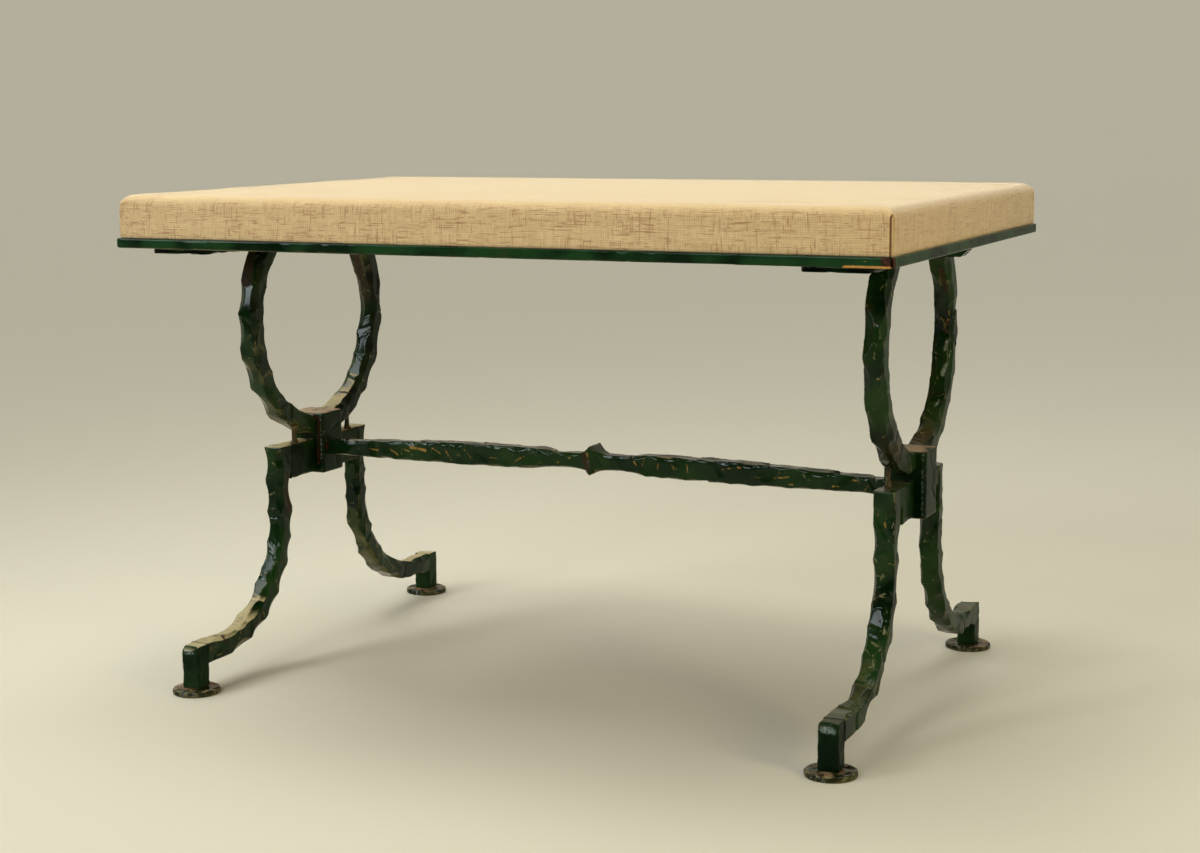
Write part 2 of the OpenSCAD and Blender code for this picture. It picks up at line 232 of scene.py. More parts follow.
def bar_hits(seed, sweep, blows, plain=0.0, ridges=None):
    """Hammer scoops along a swept bar, all but a plain stretch at each end.

    ridges gives, for a long edge by its number, the distances along the bar at which its scoops meet.
    """
    rng = np.random.default_rng(seed)
    pitch, face, edge = (np.array(sizes) * MM for sizes in blows)
    points, normals = sweep.grid()
    middles = points.mean(1)
    run = np.concatenate([[0], np.cumsum(np.linalg.norm(np.diff(middles, axis=0), axis=1))])
    c, d = sweep.outline[:, 2], sweep.outline[:, 3]
    corners = [np.flatnonzero((c * p > 0.35) & (d * q > 0.35)) for p in (-1, 1) for q in (-1, 1)]
    flats = [np.flatnonzero(c * p + d * q > 0.98) for p, q in ((1, 0), (0, 1), (-1, 0), (0, -1))]
    hits = []

    def strike(at, k, half_length, depth):
        row = min(int(np.searchsorted(run, at)), len(run) - 1)
        normal = normals[row, k] / np.linalg.norm(normals[row, k])
        hits.append((points[row, k], tilted(rng, normal, 0.12), half_length, depth))

    def beat(pick, sizes):
        """Strikes one lane from end to end. pick gives the point of the section that each blow meets."""
        low_half, high_half, low_depth, high_depth = sizes
        at = plain + rng.uniform(0, pitch)
        while at < run[-1] - plain:
            strike(at, pick(), rng.uniform(low_half, high_half), rng.uniform(low_depth, high_depth))
            at += pitch * rng.uniform(0.6, 1.4)

    for number, lane in enumerate(corners):
        k = lane[len(lane) // 2]
        if not ridges or number not in ridges:
            beat(lambda: k, edge)
            continue
        for start, end in zip(ridges[number], ridges[number][1:]):
            # A scoop 18 mm long is the shallowest, and one of 40 mm or more the deepest
            deep = edge[2] + (edge[3] - edge[2]) * min(max((end - start - 18) / 22, 0), 1)
            strike((start + end) / 2 * MM, k, (end - start) * 0.52 * MM, deep * rng.uniform(0.85, 1.15))
    for lane in flats:
        beat(lambda: rng.choice(lane), face)
    return hits


# Marks in the paint, in millimetres: each stroke's start, its run along the three axes, and its radius. The
# brown, ochre and rust marks are worn or stained paint, the tan one is a bright line under the front of the
# rim, and the cream and pale marks are painted highlights
MARKS = {
    "brown": [
        (-327, -100, 414, 3, -18, -24, 8), (-327, -125, 338, 0, 0, -5, 3), (-312, -72, 186, 0, 0, -34, 5),
        (-8, -12, 220, 3, 0, -14, 5), (-2, -15, 221, 1, 0, -16, 3.6), (322, 90, 404, 4, 14, -26, 4),
        (-322, 88, 404, -2, 16, -28, 6), (-304, -19, 240, -1, 0, -44, 2)],
    "ochre": [
        (-312, -87, 139, 0, -3, -6, 1.5), (-312, -91, 124, 0, -1, -6, 1), (-312, -176, 50, 0, -4, -3, 1.4),
        (-312, -216, 44, 0, -1, -4, 1.6), (322, -84, 190, 1, 0, -4, 1.1), (316, -84, 199, 0, 0, -3, 0.8),
        (316, -84, 189, 0, 0, -2, 0.9), (320, -84, 145, 0, 0, -11, 0.9), (326, 106, 362, 0, 0, -9, 1.3),
        (324, 106, 345, 2, 0, -4, 1.1), (351, -254, 436, 3, 0, 0, 1), (-317, 94, 386, -2, 4, -8, 2.4),
        (-327, -125, 341, 0, 0, -8, 1), (318, -130, 86, -1, -1, -4, 1.4), (-3, -13, 221, 1, -1, -3, 1.6)],
    "rust": [
        (-301, -13, 213, 0, 1, -5, 2.4), (-307, -19, 240, -1, 0, -50, 1.2), (-306, -19, 238, -6, 0, 4, 1.8),
        (325, 106, 352, 0, 0, -3, 1.6), (370, -254, 436, 6, 4, -2, 4.6), (-316, -190, 45, 3, -2, -2, 2.2),
        (324, 106, 345, -1, 0, -3, 1.6)],
    "tan": [
        (336, -254, 429.5, 38, 0, 0, 3)],
    # Painted highlights
    "cream": [
        (325, 106, 351, -1, 0, -5, 1), (314, -84, 157, 1, 0, -4, 1.2), (314, -86, 124, 1, 0, -4, 1.2),
        (311, -126, 333, 0, 0, 0, 1.1), (-326, 106, 327, 1, 0, -3, 1), (-322, 106, 316, 0, 0, -1, 0.9)],
    # Painted glints
    "pale": [
        (322, -84, 206, 1, 0, -1, 1.1), (320, -84, 203, 1, 0, 0, 0.9), (327, -84, 199, 0, 0, 0, 1.2),
        (316, -84, 189, 0, 0, 0, 1.1), (330, -84, 149, 0, 0, -2, 1.3), (329, -86, 128, 1, -1, -5, 1.2),
        (323, -239, 23, 1, 0, 0, 1.3), (330, -239, 12, 0, 0, -2, 1.3), (-315, -239, 12, 3, 0, -1, 1.4),
        (-322, -239, 10, 3, 0, 0, 1.4), (324, 84, 134, 1, 0, -1, 1.4), (327, 84, 108, 1, 0, -2, 1.6),
        (326, 104, 334, -2, -1, -9, 2.6), (326, 99, 311, -2, -3, -10, 2.8), (325, 80, 279, -2, -4, -6, 2.2),
        (328, -108, 412, 0, -3, -8, 1.3), (316, -236, 41, 10, 0, 0, 3.5), (-326, -236, 41, 9, 0, 0, 2.9),
        (327, -125, 363, 0, 0, -4, 1.5), (320, -125, 356, 0, 0, -4, 1.3), (-1, -15, 215, 0, 0, -6, 1.7)],
}
MARK_REACH = 4 * MM

# Ochre strokes on the front of the stretcher: place along it, height, length, tilt in degrees, radius
STROKES = (
    (-248, 209, 11, -5, 1.2), (-223, 208, 10, -30, 1.2), (-214, 209, 6, -85, 0.9), (-209, 211, 8, -15, 1.1),
    (-194, 213, 15, -7, 1.8), (-172, 212, 9, -30, 1.2), (-159, 209, 11, -55, 1.2), (-145, 208, 6, -35, 1),
    (-136, 211, 12, -45, 1.2), (-123, 210, 5, -20, 0.8), (-102, 209, 16, -3, 0.7), (-75, 212, 17, 30, 1),
    (-56, 208, 13, 45, 1.2), (-37, 209, 2, 0, 1), (-24, 214, 2, 0, 1), (47, 214, 4, -50, 1.1),
    (56, 215, 6, 70, 1.2), (72, 212, 5, 85, 0.9), (88, 212, 7, -65, 0.7), (103, 212, 8, -80, 0.8),
    (144, 215, 10, 10, 0.9), (156, 217, 2, 0, 1.4), (177, 209, 12, 0, 0.7), (199, 210, 13, 8, 1),
    (208, 204, 3, 0, 1), (252, 205, 5, 0, 1.3), (270, 212, 3, 0, 1.1), (282, 206, 6, 50, 0.8))
STROKE_STRETCH = 1.15
STROKE_THINNING = 0.95

KNOT_HALF = 13 * MM
KNOT_HEIGHT = 14.5 * MM
KNOT_RISE = 2 * MM
NECK_END = 36 * MM
SWELL_START = 58 * MM
BAR_END = 7.6 * MM
BAR_SWELL = 11 * MM
BAR_DROP = 6 * MM
BAR_BOW = 4 * MM
BAR_REACH = END_X - HUB_HALF_X + 2 * MM

# Half the stretcher's thickness at places along it: a knot, a neck on each side of it, and a swelling
STRETCHER_HALVES = (
    (0, KNOT_HEIGHT), (0.25 * KNOT_HALF, 0.84 * KNOT_HEIGHT), (0.6 * KNOT_HALF, 0.65 * KNOT_HEIGHT),
    (1.05 * KNOT_HALF, 0.54 * KNOT_HEIGHT), (1.6 * KNOT_HALF, BAR_END), (NECK_END, BAR_END),
    (SWELL_START, 0.96 * BAR_SWELL), (BAR_REACH / 2, BAR_SWELL), (BAR_REACH, BAR_END))


def stretcher_half(x):
    return np.interp(abs(x), *zip(*STRETCHER_HALVES))


def stretcher_height(x):
    """The height of the stretcher's middle line, which bows up and rises at the knot."""
    ends = (hub_low.z + hub_high.z) / 2 - BAR_DROP
    return ends + BAR_BOW * (1 - (x / BAR_REACH) ** 2) + KNOT_RISE * max(1 - abs(x) / KNOT_HALF, 0)


def stretcher_back(x):
    """A place on the back edge of the stretcher's top, in millimetres like the marks."""
    half = stretcher_half(x * MM)
    return np.array([x, half / MM, (stretcher_height(x * MM) + half) / MM])


for x, z, length, tilt, radius in STROKES:
    y = -stretcher_half(x * MM) / MM
    dx = STROKE_STRETCH * length * cos(radians(tilt))
    dz = STROKE_STRETCH * length * sin(radians(tilt))
    MARKS["ochre"].append((x - dx / 2, y, z - dz / 2, dx, 0, dz, STROKE_THINNING * radius))

# Painted glints as dashes, down the front right corner of each hub and along the top edge of each front leg
HUB_CORNER = 17, -19
LEG_EDGE = -84, 217
for end in (-321, 321):
    for z in range(186, 243, 5):
        MARKS["pale"].append((end + HUB_CORNER[0], HUB_CORNER[1], z, 0, 0, 1.5 + z % 3 * 0.7, 1.4))
    for x in range(end - 9, end + 9, 4):
        MARKS["pale"].append((x, *LEG_EDGE, 2, 0, 0, 1.1))

# A painted highlight: a pale broken line along the back edge of the stretcher's top
DASH = 8
for x in range(-296, 296, DASH):
    if x % 5:
        start = stretcher_back(x)
        MARKS["cream"].append((*start, *(stretcher_back(x + DASH) - start), 1.0 + x % 3 * 0.4))


def mark_fields(points):
    """For each kind of mark, how far inside its nearest stroke each point lies, as a share of MARK_REACH."""
    fields = {}
    for kind, strokes in MARKS.items():
        field = np.full(len(points), -1.0)
        for *stroke, radius in strokes:
            start, along = np.array(stroke).reshape(2, 3) * MM
            share = np.clip((points - start) @ along / max(along @ along, 1e-12), 0, 1)
            gap = np.linalg.norm(points - start - share[:, None] * along, axis=1)
            field = np.maximum(field, (radius * MM - gap) / MARK_REACH)
        fields[kind] = field
    return fields


def forged(node_name, sweep, hits, finish, piece=None, cap_rings=4, carve=None):
    """Turns a swept bar and its hammer marks into a piece that stands for the named CAD node."""
    points, normals, faces, edge = sweep.surface(cap_rings)
    if carve:
        points = points - normals * carve(points, normals)[:, None]
    points, depth, ridge = press(points, hits)
    thing = new_object(piece or node_name + "_forged", points, faces, finish)
    worn = np.clip(edge * (1 - depth / (1.2 * MM)), 0, 1)
    for label, values in {"edge": worn, "ridge": ridge, **mark_fields(points)}.items():
        layer = thing.data.attributes.new(label, "FLOAT", "POINT")
        layer.data.foreach_set("value", values.astype(np.float32))
    stands_for(thing, [node_name])


# Materials


class Graph:
    """Adds nodes to a material or a world. An input is a value or another node's output."""

    def __init__(self, owner):
        owner.use_nodes = True
        self.owner = owner
        self.tree = owner.node_tree
        self.tree.nodes.clear()

    def node(self, kind, links=None, **settings):
        """Makes a node and gives its outputs. settings set its properties, and links its inputs."""
        made = self.tree.nodes.new("ShaderNode" + kind)
        for key, value in settings.items():
            setattr(made, key, value)
        for key, value in (links or {}).items():
            if isinstance(value, bpy.types.NodeSocket):
                self.tree.links.new(value, made.inputs[key])
            else:
                made.inputs[key].default_value = value
        return made.outputs

    def surface(self, links):
        """Ends a material with a shader that has these inputs."""
        shader = self.node("BsdfPrincipled", links)
        self.node("OutputMaterial", {0: shader[0]})
        return self.owner

    def place(self):
        return self.node("TexCoord")["Object"]

    def attribute(self, name):
        return self.node("Attribute", attribute_name=name)["Fac"]

    def parts(self, vector):
        return self.node("SeparateXYZ", {0: vector})

    def facing(self):
        return self.parts(self.node("NewGeometry")["Normal"])

    def moved(self, vector, shift):
        return self.node("VectorMath", {0: vector, 1: shift}, operation="ADD")[0]

    def math(self, operation, a, b=0.0, c=0.0):
        return self.node("Math", {0: a, 1: b, 2: c}, operation=operation)[0]

    def times(self, a, b):
        return self.math("MULTIPLY", a, b)

    def highest(self, first, *others):
        for other in others:
            first = self.math("MAXIMUM", first, other)
        return first

    def noise(self, vector, scale, detail=3.0, roughness=0.5):
        links = {"Vector": vector, "Scale": scale, "Detail": detail, "Roughness": roughness}
        return self.node("TexNoise", links)[0]

    def ramp(self, value, low, high, start, end, shape="LINEAR"):
        """start below low, end above high, and in step with the value between."""
        links = {"Value": value, "From Min": low, "From Max": high, "To Min": start, "To Max": end}
        return self.node("MapRange", links, interpolation_type=shape)[0]

    def step_up(self, value, low, high):
        """0 below low, 1 above high, smooth between."""
        return self.ramp(value, low, high, 0.0, 1.0, "SMOOTHSTEP")

    def blend(self, share, a, b):
        return self.node("Mix", {0: share, 2: a, 3: b})[0]

    def mix(self, share, a, b, how="MIX"):
        return self.node("Mix", {0: share, 6: a, 7: b}, data_type="RGBA", blend_type=how)[2]

    def layered(self, colour, layers):
        """A colour under layers, each given as where it lies, how much it covers there, and its colour."""
        for where, cover, coat in layers:
            colour = self.mix(self.times(where, cover), colour, coat)
        return colour

    def bump(self, height, distance, strength=1.0, normal=None):
        links = {"Strength": strength, "Distance": distance, "Height": height}
        if normal:
            links["Normal"] = normal
        return self.node("Bump", links)[0]


def new_material(name):
    return Graph(bpy.data.materials.new(name))


def rgb(red, green, blue):
    """A colour given as it shows on a screen, 0 to 255, in the renderer's linear values."""
    def linear(v):
        v = v / 255
        return v / 12.92 if v <= 0.04045 else ((v + 0.055) / 1.055) ** 2.4
    return (linear(red), linear(green), linear(blue), 1.0)


def darker(colour, share):
    return tuple(share * v for v in colour[:3]) + (1.0,)


DEEP_GREEN = rgb(3, 20, 5)
LEAF_GREEN = rgb(24, 48, 17)
UMBER = rgb(44, 38, 14)
OLIVE = rgb(98, 94, 60)
OCHRE = rgb(150, 112, 46)
RUST = rgb(66, 32, 20)
BROWN = rgb(54, 38, 15)
BRIGHT_TAN = rgb(206, 150, 82)
CREAM = rgb(190, 180, 146)
GLINT = rgb(148, 162, 152)
# Dust and a painted reflection of overhead light, on faces that face up
DUST_AND_SHEEN = rgb(164, 150, 110)
HUB_DUST_AND_SHEEN = rgb(170, 146, 118)
TAN = rgb(138, 112, 80)
DRAB = rgb(44, 45, 27)
LINEN = rgb(201, 175, 130)
LINEN_DEEP = rgb(193, 164, 119)
SLUB = rgb(118, 64, 30)
KNOT = rgb(104, 56, 34)

# Each kind of mark, in the order that they lie over each other: colour, how soft and how ragged its edge is,
# and how much of its light is left where it is darkest
# The cream and pale kinds are painted highlights and glints
STAINS = (
    ("brown", BROWN, 0.7, 1.0, 0.5), ("rust", RUST, 0.06, 1.0, 0.4), ("ochre", OCHRE, 0.2, 0.6, 0.7),
    ("tan", BRIGHT_TAN, 0.3, 0.15, 0.8), ("cream", CREAM, 0.3, 0.1, 0.8), ("pale", GLINT, 0.8, 1.0, 0.5))

# Half of the length over which the dust and the painted reflections fade out from the left end of the bench
# to the right
FADE_RUN = 0.3


def hammered_paint(
        name, brown=0.5, wear=1.0, green=LEAF_GREEN, deep=DEEP_GREEN, dust_and_sheen=DUST_AND_SHEEN, kept_at_right=0.1, bare=0.25,
        gloss=0.15):
    """Glossy dark green paint over hammered iron, browner in patches, lighter along its edges, pale tan on
    top.

    brown is how much of the paint has browned, and wear how far its edges are lightened, partly as worn
    paint and partly as painted sheen. dust_and_sheen is the colour that faces which face up take: a dusting
    and a painted reflection of overhead light. Faces that face down take a painted olive reflection of the
    floor. kept_at_right is how much of both is left at the right end of the bench, and bare how much of a
    top they miss.
    """
    g = new_material(name)
    place = g.place()
    shifted = g.moved(place, (3.1, 1.7, 0.4))
    facing = g.facing()
    across, upward = facing[0], facing[2]
    line = g.highest(g.attribute("edge"), g.attribute("ridge"))
    chip = g.noise(place, 150.0, 4.0, 0.6)
    grit = g.noise(shifted, 420.0, 3.0, 0.6)

    paint = g.mix(g.step_up(g.noise(place, 21.0), 0.36, 0.64), deep, green)
    earthy = g.step_up(g.noise(shifted, 17.0, 4.0, 0.6), 0.66 - 0.3 * brown, 0.80 - 0.3 * brown)
    # The dust and the painted reflections fade from the left end of the bench to the right
    fade_to_right = g.ramp(g.parts(place)[0], -FADE_RUN, FADE_RUN, 0.95, 0.95 * kept_at_right)
    # Painted reflection of the floor: faces that face down turn olive in patches
    below = g.times(g.step_up(g.times(upward, -1.0), 0.12, 0.6), g.step_up(g.noise(shifted, 45.0), 0.3, 0.55))
    spots = g.step_up(g.noise(shifted, 75.0, 4.0, 0.6), 0.73, 0.78)
    # Edges and ridges turn lighter olive: partly worn paint and partly a painted sheen along the edges
    edge_wear_and_sheen = g.step_up(g.math("MULTIPLY_ADD", line, 0.36 * wear, chip), 0.72, 0.90)
    crest = g.step_up(g.math("MULTIPLY_ADD", line, 0.2 * wear, g.noise(shifted, 210.0)), 0.82, 0.88)
    # Dust and a painted pale tan reflection of overhead light on faces that face up, in patches
    top_patches = g.step_up(g.noise(place, 60.0, 3.0, 0.6), bare, bare + 0.25)
    dust_and_sheen_on_top = g.times(g.times(g.step_up(upward, 0.68, 0.88), top_patches), fade_to_right)
    layers = [
        (earthy, 0.75, UMBER), (g.times(below, fade_to_right), 0.75, OLIVE), (spots, 0.8, RUST), (edge_wear_and_sheen, 0.8, OLIVE),
        (crest, 0.8, OCHRE), (dust_and_sheen_on_top, 1.0, dust_and_sheen)]

    mottle = g.step_up(grit, 0.40, 0.60)
    dulled = [spots, edge_wear_and_sheen, crest, dust_and_sheen_on_top]
    for kind, stain, soft, ragged, darkest in STAINS:
        field = g.math("ADD", g.attribute(kind), g.math("MULTIPLY_ADD", grit, 0.7 * ragged, -0.35 * ragged))
        inside = g.step_up(field, -0.04, soft)
        layers.append((inside, 0.9, g.mix(mottle, darker(stain, darkest), stain)))
        dulled.append(inside)

    upright = g.times(g.step_up(g.math("ABSOLUTE", across), 0.6, 0.9), 0.6)
    skin = g.bump(g.noise(place, 70.0, 1.0), 1.0 * MM, 0.25)
    return g.surface({
        "Base Color": g.layered(paint, layers),
        "Roughness": g.ramp(g.highest(upright, *dulled), 0.0, 1.0, 0.12, 0.55),
        "Specular IOR Level": gloss,
        "Normal": g.bump(chip, 0.2 * MM, 0.12, skin)})


def grained_steel(name, colour):
    g = new_material(name)
    grain = g.noise(g.place(), 500.0, 4.0)
    return g.surface({
        "Base Color": g.mix(grain, darker(colour, 0.6), colour), "Metallic": 1.0, "Roughness": 0.3,
        "Normal": g.bump(grain, 0.1 * MM, 0.4)})


def plywood(name):
    """Birch plywood seen from below."""
    g = new_material(name)
    stretched = g.node("Mapping", {0: g.place(), 3: (3.0, 40.0, 40.0)})[0]
    grain = g.noise(stretched, 4.0, 5.0, 0.6)
    return g.surface({
        "Base Color": g.mix(grain, rgb(172, 128, 82), rgb(214, 176, 126)), "Roughness": 0.6,
        "Normal": g.bump(grain, 0.2 * MM, 0.4)})


THREAD = 0.85 * MM
THICK_THREAD = 1.8 * THREAD
WEAVE = 2.0 * MM
WAVER = 5 * MM


def woven_linen(name):
    """Slubby plain-weave linen. The weave follows the cover's UV map, which is in metres."""
    g = new_material(name)
    cloth = g.node("UVMap", uv_map="cloth")[0]
    x = g.math("MULTIPLY_ADD", g.noise(cloth, 14.0, 2.0), WAVER, g.parts(cloth)[0])
    y = g.math("MULTIPLY_ADD", g.noise(g.moved(cloth, (5.0, 2.0, 0.0)), 14.0, 2.0), WAVER, g.parts(cloth)[1])

    def threads(across, along, width, stretch, shift):
        """How high a thread stands, its number, and how thick it is along its length."""
        at = g.math("DIVIDE", across, width)
        number = g.math("FLOOR", at)
        height = g.math("ABSOLUTE", g.math("SINE", g.times(at, pi)))
        lane = g.math("MULTIPLY_ADD", number, 2.37, shift)
        spot = g.node("CombineXYZ", {0: g.times(along, stretch), 1: lane, 2: shift})[0]
        return height, number, g.noise(spot, 1.0, 3.0, 0.6)

    def thickened(lanes, low, high):
        """Where any of the threads is thick."""
        return g.highest(*[g.step_up(lane[2], low, high) for lane in lanes])

    plain = [threads(y, x, WEAVE, 26.0, 11.0), threads(x, y, WEAVE, 30.0, 17.0)]
    fine = [threads(y, x, THREAD, 26.0, 0.0), threads(x, y, THREAD, 40.0, 31.0)]
    fine.append(threads(y, x, THREAD, 52.0, 71.0))
    thick = [threads(y, x, THICK_THREAD, 26.0, 57.0), threads(x, y, THICK_THREAD, 30.0, 83.0)]
    (warp, warp_number, _), (weft, weft_number, _) = plain
    weave = g.blend(g.math("PINGPONG", g.math("ADD", warp_number, weft_number), 1.0), warp, weft)
    slub = thickened(fine, 0.565, 0.66)

    tone = g.math("MULTIPLY_ADD", weave, 0.30, 0.82)
    shade = g.node("CombineColor", {0: tone, 1: tone, 2: tone})[0]
    colour = g.mix(1.0, g.mix(g.noise(cloth, 9.0), LINEN_DEEP, LINEN), shade, "MULTIPLY")

    # The slubs fade on the top, a painted stand-in for the sheen that washes the weave out at grazing angles
    seen = g.ramp(g.facing()[2], 0.3, 0.9, 1.0, 0.15)
    patchy = g.times(seen, g.step_up(g.noise(cloth, 22.0), 0.15, 0.55))
    knots = g.step_up(g.noise(cloth, 260.0, 2.0), 0.73, 0.80)
    colour = g.layered(colour, (
        (g.times(thickened(plain, 0.42, 0.60), seen), 0.15, SLUB),
        (g.times(thickened(thick, 0.64, 0.74), patchy), 0.25, SLUB),
        (g.times(slub, patchy), 0.52, SLUB),
        (g.times(knots, seen), 0.75, KNOT)))
    return g.surface({
        "Base Color": colour, "Roughness": 0.9, "Specular IOR Level": 0.1,
        "Sheen Weight": 0.5, "Sheen Roughness": 0.4,
        "Normal": g.bump(g.math("MULTIPLY_ADD", slub, 0.5, weave), 0.25 * MM, 0.5)})


green_iron = hammered_paint("green_iron", brown=0.3)
lug_iron = hammered_paint("lug_iron", brown=0.2, wear=0.4, gloss=0.07)
hub_iron = hammered_paint(
    "hub_iron", brown=0.1, wear=0.5, green=rgb(18, 38, 14), dust_and_sheen=HUB_DUST_AND_SHEEN, kept_at_right=1.0, bare=0.32, gloss=0.07)
tack_iron = hammered_paint("tack_iron", brown=1.2, wear=1.2, green=TAN, dust_and_sheen=TAN)
foot_iron = hammered_paint("foot_iron", wear=0.8, green=DRAB, dust_and_sheen=TAN, kept_at_right=0.8, bare=0.42)
flat_iron = hammered_paint(
    "flat_iron", brown=0.0, wear=0.1, green=rgb(24, 54, 26), kept_at_right=0.0, bare=1.0, gloss=0.09)
stretcher_iron = hammered_paint(
    "stretcher_iron", brown=0.3, wear=0.7, deep=rgb(12, 30, 10), kept_at_right=0.6, bare=0.5)
steel = grained_steel("steel", rgb(190, 188, 182))
linen = woven_linen("linen")
board_wood = plywood("plywood")

# The screws and staples stay as the CAD made them, in bare steel
for name in ("seat_screws", "cover_staples"):
    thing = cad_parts[name]
    thing.data.materials.clear()
    thing.data.materials.append(steel)


# Iron bars


STEP = 1.3 * MM
ACROSS = 12
OVERLAP = 1 * MM
PROUD_HALF = HALF_BAR + 0.5 * MM
X_AXIS, Y_AXIS, Z_AXIS = np.eye(3)

# How far the long edges of each kind of piece are rounded
EDGES = {
    "bar": 1.6 * MM, "hub": 2 * MM, "lug": 1.4 * MM, "post": 1.6 * MM, "stretcher": 1.3 * MM, "rim": 1.4 * MM,
    "strap": 1.2 * MM, "tack": 2.2 * MM, "gusset": 1 * MM}

# Where scoops meet on the outlines that the photo shows, in millimetres from the bar's lower or upper start
RING_RIDGES = {
    ("left", "front"): {3: (4, 60, 103, 139, 176, 212), 0: (61, 81, 112, 136, 161, 183, 208, 232)},
    ("left", "back"): {0: (50, 81, 108, 133, 173, 201), 3: (48, 74, 109, 151, 191)},
    ("right", "front"): {3: (6, 49, 85, 119, 162, 211), 0: (89, 113, 142, 166, 192, 227)},
    ("right", "back"): {0: (43, 65, 86, 113, 138, 158, 192, 224), 3: (35, 66, 95, 127, 164, 203)},
}
LEG_RIDGES = {
    ("left", "front"): {1: (4, 34, 64, 96, 129, 152, 192, 241), 2: (32, 66, 93, 118, 149, 176, 204, 240)},
    ("right", "front"): {1: (30, 63, 102, 128, 157, 193, 234), 2: (35, 61, 99, 130, 162, 186, 226)},
}
RING_BURIED = radians(3)
RING_LEVELLED = radians(9)
TOE_BITE = 2 * MM
LEG_PLAIN = 6 * MM


def ring_arm(side, row, seed):
    """One arm of the ring, from inside the hub round to the strap, where it is cut level."""
    sx, sy = SIDES[side], ROWS[row]
    sweep = Sweep(EDGES["bar"], ACROSS, ACROSS)
    first = asin(HUB_HALF_Y / RING_RADIUS) - RING_BURIED
    last = pi - acos((strap_low.z - RING_HEIGHT + OVERLAP) / RING_RADIUS)
    count = int((last - first) * RING_RADIUS / STEP)
    for i in range(count + 1):
        a = first + (last - first) * i / count
        radial = np.array([0, sy * sin(a), -cos(a)])
        tilt = np.clip(1 - (last - a) / RING_LEVELLED, 0, 1) * (last - pi / 2)
        up = np.array([0, sy * sin(a - tilt), -cos(a - tilt)])
        centre = RING_RADIUS * radial + np.array([sx * END_X, 0, RING_HEIGHT])
        sweep.add(centre, X_AXIS * sy, up, PROUD_HALF, PROUD_HALF / cos(tilt))
    hits = bar_hits(seed, sweep, BAR_BLOWS, ridges=RING_RIDGES[side, row])
    forged(f"ring_{side}_{row}", sweep, hits, green_iron)


def leg_bar(side, row, seed):
    """A leg from its lug down and out to its toe: straight, then a quarter of a circle, then level."""
    sx, sy = SIDES[side], ROWS[row]
    sweep = Sweep(EDGES["bar"], ACROSS, ACROSS)
    bend_z, bend_y = TOE_HEIGHT + LEG_CURVE, LEG_SPREAD + LEG_CURVE
    straight, arc = LEG_TOP - bend_z, pi / 2 * LEG_CURVE
    total = straight + arc + FOOT_Y - HALF_BAR + TOE_BITE - bend_y
    count = int(total / STEP)
    for i in range(count + 1):
        run = total * i / count
        turn = min(max((run - straight) / LEG_CURVE, 0), pi / 2)
        y = bend_y - LEG_CURVE * cos(turn) + max(run - straight - arc, 0)
        z = max(LEG_TOP - run, bend_z) - LEG_CURVE * sin(turn)
        up = np.array([0, -sy * cos(turn), -sin(turn)])
        sweep.add((sx * END_X, sy * y, z), -X_AXIS * sy, -up, PROUD_HALF, PROUD_HALF)
    hits = bar_hits(seed, sweep, BAR_BLOWS, LEG_PLAIN, LEG_RIDGES.get((side, row)))
    forged(f"leg_{side}_{row}", sweep, hits, green_iron, cap_rings=6)


def block_sweep(low, high, axis, radius, step=STEP):
    """A sweep that fills the box from low to high, along one axis, with all its edges rounded."""
    low, high = np.array(low), np.array(high)
    along = "xyz".index(axis)
    a_axis, b_axis = (along + 1) % 3, (along + 2) % 3
    half_a, half_b = (high - low)[[a_axis, b_axis]] / 2
    sweep = Sweep(radius, *[max(1, round(2 * (half - radius) / step)) for half in (half_a, half_b)])
    length = (high - low)[along]
    end = min(radius, 2 * MM)
    turns = [pi / 2 * i / 3 for i in range(3)]
    rows = [(end * (1 - cos(turn)), end * (1 - sin(turn))) for turn in turns]
    count = max(4, round((length - 2 * end) / step))
    rows += [(end + (length - 2 * end) * i / count, 0.0) for i in range(count + 1)]
    rows += [(length - reach, inset) for reach, inset in reversed(rows[:3])]
    units = np.eye(3)
    for reach, inset in rows:
        centre = (low + high) / 2
        centre[along] = low[along] + reach
        sweep.add(centre, units[a_axis], units[b_axis], half_a - inset, half_b - inset, radius - inset * 0.9)
    return sweep


def block(name, axis, radius, seed, finish=lug_iron, beaten=(), carve=None):
    """A hammered block in the place of a CAD node."""
    sweep = block_sweep(*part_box(name), axis, radius)
    forged(name, sweep, bar_hits(seed, sweep, BLOCK_BLOWS) + list(beaten), finish, cap_rings=8, carve=carve)


POST_BLOW = 14 * MM, 4.5 * MM


def post(side, row, seed):
    """The end of a toe that stands on a foot, with its outer top edge beaten down."""
    name = f"post_{side}_{row}"
    low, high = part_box(name)
    sy = ROWS[row]
    edge = np.array([(low.x + high.x) / 2 - 2 * MM, high.y if sy > 0 else low.y, high.z])
    block(name, "z", EDGES["post"], seed, beaten=[(edge, np.array([-0.1, 0.62 * sy, 0.78]), *POST_BLOW)])


ARCH_HALF = 4 * MM
ARCH_SPRING = 14 * MM
ARCH_INSET = 6 * MM
ARCH_DEPTH = 7 * MM
ARCH_BLUR = 0.8 * MM


def lug(side, row, seed):
    """The block between a hub and a leg, with a small arch cut in its outer face beside the leg."""
    name = f"lug_{side}_{row}"
    low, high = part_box(name)
    middle = ROWS[row] * (max(abs(low.y), abs(high.y)) - ARCH_INSET)

    def carve(points, normals):
        across = np.abs(points[:, 1] - middle)
        above = np.maximum(points[:, 2] - low.z - ARCH_SPRING, 0)
        inside = np.clip((ARCH_HALF - np.hypot(across, above)) / ARCH_BLUR, 0, 1)
        return ARCH_DEPTH * inside * (normals[:, 0] * SIDES[side] > 0.8)

    block(name, "y", EDGES["lug"], seed, carve=carve)


KNOT_UNHIT = 20 * MM


